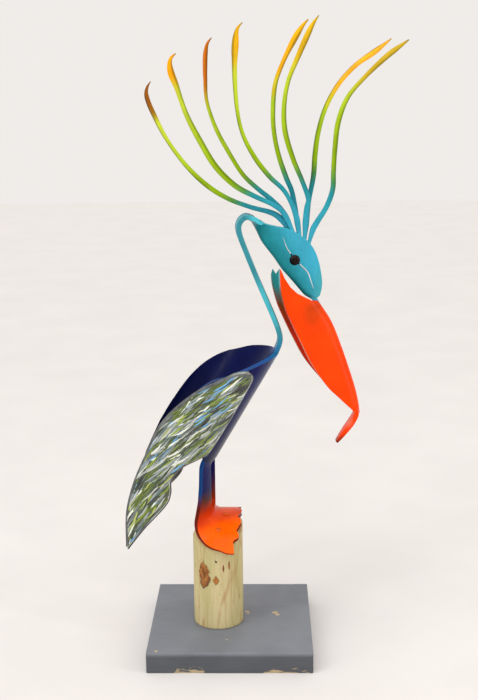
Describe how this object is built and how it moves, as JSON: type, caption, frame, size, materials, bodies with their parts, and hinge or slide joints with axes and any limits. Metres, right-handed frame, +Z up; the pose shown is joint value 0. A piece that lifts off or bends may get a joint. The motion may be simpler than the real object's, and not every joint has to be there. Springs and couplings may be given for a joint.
{
  "type": "pelican yard statue",
  "caption": "Folk-art pelican formed from one painted plastic pipe, with a tall finger crest and long bill, on a round wooden post and square board.",
  "frame": {"origin": "centre of the base board's underside", "axes": "+Z up, +X toward the pelican's bill, -Y toward the viewer of the near wing"},
  "size_m": [0.4793, 0.286, 1.0924],
  "materials": {
    "board_paint": "grey paint, worn along the lower edge",
    "post_wood": "bare treated pine",
    "foot_paint": "gloss paint, navy legs fading to an orange foot",
    "body_paint": "gloss navy paint",
    "head_paint": "gloss teal paint, lime to orange crest, orange bill",
    "wing_paint": "feather-like brush strokes in greys, greens, white and light blue",
    "eye_glass": "glossy black brown",
    "screw_metal": "pan heads painted over with the foot"
  },
  "bodies": {
    "root": {"base_board": "board_paint", "post": "post_wood", "bird_legs_and_foot": "foot_paint", "bird_body": "body_paint", "bird_neck": "head_paint", "bird_head": "head_paint", "bird_bill": "head_paint", "bird_crest_1": "head_paint", "bird_crest_2": "head_paint", "bird_crest_3": "head_paint", "bird_crest_4": "head_paint", "bird_crest_5": "head_paint", "bird_crest_6": "head_paint", "bird_crest_7": "head_paint", "bird_crest_8": "head_paint", "wing_near": "wing_paint", "wing_far": "wing_paint", "eye_bead": "eye_glass", "screw_upper": "screw_metal", "screw_lower": "screw_metal"}
  },
  "joints": []
}
